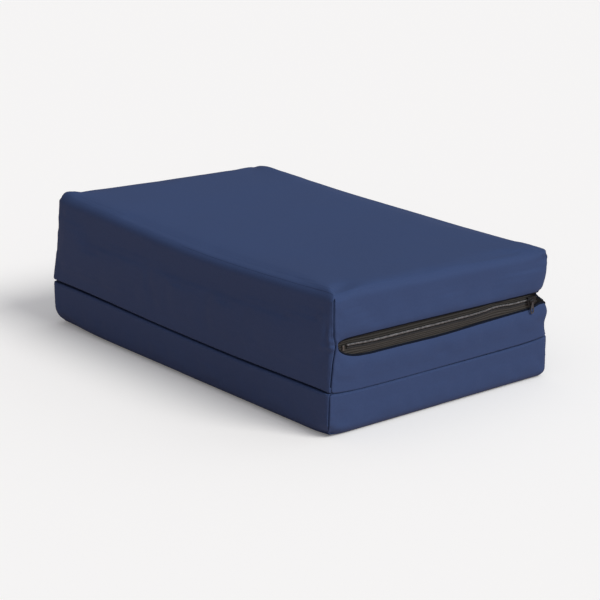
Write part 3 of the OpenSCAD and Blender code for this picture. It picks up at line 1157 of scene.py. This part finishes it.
def add_slider(sec, name, node):
    """Zip slider: two shield-shaped wings with flanges between, and the arch that holds the pull."""
    lo, hi = node_box(node)
    x_mid = (lo[0] + hi[0]) / 2
    half = (hi[0] - lo[0]) / 2
    width = hi[2] - lo[2]
    wing_y = FRONT + TAPE_DEPTH - COIL_H - 0.3 - WING_T / 2
    face_y = wing_y - WING_T / 2
    wing = outline_plate([mirrored_outline([
        (-half, 1.6), (-half + 0.5, 3.0), (-half * 0.3, width * 0.37), (half * 0.35, width * 0.47),
        (half * 0.75, width * 0.5), (half - 0.6, width * 0.42), (half, width * 0.26),
    ])], WING_T, 0.45)
    ridge = outline_plate([oval(0, 0, half * 0.62, 1.7, 24, 2.6)], 0.8, 0.3)
    flange = outline_plate([mirrored_outline([(-half * 0.8, 0.5), (half * 0.75, 0.5)])], 2.6, 0.2)
    bend = np.linspace(0, math.pi, 15)
    arch_x = x_mid - half * 0.62 * np.cos(bend)
    arch = np.column_stack([arch_x, face_y - 2.3 * np.sin(bend) ** 0.7, np.zeros(15)])
    points, faces = join([
        stand(wing, x_mid, wing_y, 0),
        stand(wing, x_mid, FRONT + TAPE_DEPTH + 1.4, 0),
        stand(ridge, x_mid, face_y - 0.15, 0),
        stand(flange, x_mid, wing_y + 1.4, -width * 0.42),
        stand(flange, x_mid, wing_y + 1.4, width * 0.42),
        sweep(arch, np.array([0.0, 0, 1]), oval(0, 0, 1.5, 0.5, 12, 3.5)),
    ])
    points[:, 2] += sec.zip_z
    if sec.flipped:
        points[:, 1] *= -1
        faces = [face[::-1] for face in faces]
    place(make_mesh(name, points, faces, [METAL]), sec.name + "_slider", node)


def add_pull(sec, name, node):
    """Zip pull: an eye round the slider's pin, a tapered bar and an oval loop at the end."""
    lo, hi = node_box(node)
    half = (hi[0] - lo[0]) / 2
    length = sec.zip_z - lo[2]
    loop_x = length - 8.5
    outline = mirrored_outline([
        (-1.9, 0.9), (-1.5, 1.6), (0.0, 1.95), (1.6, 1.8), (3.0, 1.55), (length * 0.5, 2.1),
        (loop_x, half * 0.78), (loop_x + 1.6, half * 0.95), (length - 4, half), (length - 2, half * 0.92),
        (length - 0.8, half * 0.66), (length, half * 0.25),
    ])
    eye = oval(0, 0, 1.0, 0.9, 16)
    loop = oval(length - 4.6, 0, 3.0, half * 0.52, 24, 2.6)
    plate, faces = outline_plate([outline, eye, loop], PULL_T, 0.35)
    x, y, z = plate[:, 1] + (lo[0] + hi[0]) / 2, plate[:, 2] + PULL_Y, sec.zip_z - plate[:, 0]
    obj = make_mesh(name, np.column_stack([x, y * sec.turn[1], z]), faces, [PULL_METAL])
    fix_normals(obj)
    place(obj, sec.name + "_pull", node)


def rounded_block(lo, hi, radius):
    """A small block with round edges, from its lowest and highest corner."""
    size = (hi - lo) / 2
    step = np.linspace(-1, 1, 10)
    a, b = np.meshgrid(step, step, indexing="ij")
    sides = []
    for axis in range(3):
        for sign in (-1, 1):
            p = np.insert(np.column_stack([a.ravel(), b.ravel()]), axis, sign, axis=1) * size
            core = np.clip(p, radius - size, size - radius)
            sides.append((core + radius * unit(p - core) + (lo + hi) / 2, sheet_quads(numbered(*a.shape))))
    return join(sides)


def add_stops(sec, name, node, material, heights):
    """The stops at one end of a zip: a block in the CAD's place for each pair of heights."""
    lo, hi = node_box(node)
    blocks = []
    for low, high in heights:
        blocks.append(rounded_block(np.array([*lo[:2], low]), np.array([*hi[:2], high]), STOP_EDGE_R))
    obj = make_mesh(name, *join(blocks), [material])
    fix_normals(obj)
    place(obj, sec.body, node)


def add_zip(sec):
    """A section's whole zip. The high ones of its pieces lie higher up in the folded mat."""
    prefix = sec.name + "_zip_"
    up = sec.turn[2]
    add_tape(sec, prefix + "tape_high", prefix + "upper_tape", up)
    add_tape(sec, prefix + "tape_low", prefix + "lower_tape", -up)
    add_coil(sec, prefix + "coil_high", prefix + "upper_coil", up)
    add_coil(sec, prefix + "coil_low", prefix + "lower_coil", -up)
    add_slider(sec, prefix + "slide_body", prefix + "slider")
    add_pull(sec, prefix + "tab", prefix + "pull")
    lo, hi = node_box(prefix + "top_stops")
    middle = (lo[2] + hi[2]) / 2
    pair = [(middle + gap - STOP_HALF, middle + gap + STOP_HALF) for gap in (-STOP_GAP, STOP_GAP)]
    add_stops(sec, prefix + "top_clips", prefix + "top_stops", METAL, pair)
    lo, hi = node_box(prefix + "bottom_stop")
    add_stops(sec, prefix + "bottom_clip", prefix + "bottom_stop", CLIP, [(lo[2], hi[2])])


add_zip(thick)
add_zip(thin)


# ---------- fold hinge ----------

HINGE_REACH = 8.0        # the hinge cloth runs this far up and down behind the crease


def add_hinge():
    """The cloth that joins the two covers, seen as a soft crease between their front edges."""
    ends = np.linspace(1, 24, 16)
    s = np.concatenate([ends, np.linspace(30, MAT_W - 30, 50), MAT_W - ends[::-1]])
    across = np.linspace(-HINGE_REACH, HINGE_REACH, 25)
    quads = sheet_quads(numbered(len(s), len(across)))
    s, across = [a.ravel() for a in np.meshgrid(s, across, indexing="ij")]
    x, y = ring_point(s)
    core, out, reach = round_plan(np.column_stack([x, y]), plan_radius(x, y))
    depth = 1.3 + 1.9 * bell(across, 0, 1.6)
    plan = core + out * (reach - depth)[:, None]
    p = np.column_stack([plan, SPLIT_Z + split_rise(plan) + across])
    obj = make_mesh("fold_hinge_cloth", p, quads, [COVER])
    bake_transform(obj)
    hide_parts("fold_hinge_strip")


add_hinge()


# ---------- floor, light and camera ----------

CAMERA_PLACE = (-1.4653, -1.8257, 0.7588)    # metres
CAMERA_AZIMUTH = math.radians(39.107)        # to the right of +Y
CAMERA_DROP = math.radians(16.438)           # below the horizon
CAMERA_LENS = 107.65
KEY_DIRECTION = Vector((0.22, -0.70, 0.68))
KEY_COLOR = (0.90, 0.93, 1.0)
KEY_STRENGTH = 2.05
KEY_ANGLE = math.radians(30)                 # the wider, the softer
SKY_DIRECTION = Vector((0.35, -0.62, 0.70)).normalized()
SKY_DARK = (0.14, 0.10, 0.09)
SKY_BRIGHT = (0.45, 0.48, 0.56)


def add_floor():
    """White to the camera; the light it throws back onto the mat is a little weaker and warmer."""
    corners = [(-9000, -6000, 0), (9000, -6000, 0), (9000, 12000, 0), (-9000, 12000, 0)]
    material, sh = new_material("floor_white")
    seen = sh.source("LightPath", "Is Camera Ray")
    sh.surface(
        Base_Color=sh.mix(seen, (0.88, 0.67, 0.58), (1.0, 0.95, 0.85)),
        Emission_Strength=sh.times(seen, 0.12),
        Emission_Color=(1, 1, 1),
        Roughness=0.9,
        Specular_IOR_Level=0.0,
    )
    make_mesh("floor", corners, [(0, 1, 2, 3)], [material])


def add_light():
    """A soft key light from the front, and a sky that is brighter on that side."""
    world = bpy.data.worlds.new("studio")
    bpy.context.scene.world = world
    world.use_nodes = True
    sh = Shader(world.node_tree)
    inputs = {0: sh.source("TexCoord", "Generated")}
    toward = sh.add("VectorMath", inputs, operation="DOT_PRODUCT")
    toward.inputs[1].default_value = SKY_DIRECTION
    lit = sh.ramp(toward.outputs["Value"], -0.4, 0.4)
    sh.plug(sh.mix(lit, SKY_DARK, SKY_BRIGHT), sh.nodes["Background"].inputs["Color"])
    lamp = bpy.data.lights.new("key", "SUN")
    lamp.energy = KEY_STRENGTH
    lamp.angle = KEY_ANGLE
    lamp.color = KEY_COLOR
    add_aimed("key", lamp, KEY_DIRECTION.to_track_quat("Z", "Y"))


def add_aimed(name, data, turn):
    """Adds a lamp or a camera, turned by a quaternion."""
    obj = bpy.data.objects.new(name, data)
    obj.rotation_mode = "QUATERNION"
    obj.rotation_quaternion = turn
    bpy.context.scene.collection.objects.link(obj)
    return obj


def add_camera():
    """A view from the front left, a little above the mat."""
    level = math.cos(CAMERA_DROP)
    ahead, aside = math.cos(CAMERA_AZIMUTH) * level, math.sin(CAMERA_AZIMUTH) * level
    look = Vector((aside, ahead, -math.sin(CAMERA_DROP)))
    cam = bpy.data.cameras.new("camera")
    cam.lens = CAMERA_LENS
    cam.sensor_width = 36
    cam.clip_start = 0.1
    cam.clip_end = 50
    obj = add_aimed("camera", cam, look.to_track_quat("-Z", "Y"))
    obj.location = CAMERA_PLACE
    bpy.context.scene.camera = obj


add_floor()
add_light()
add_camera()
bpy.context.scene.view_settings.view_transform = "Standard"
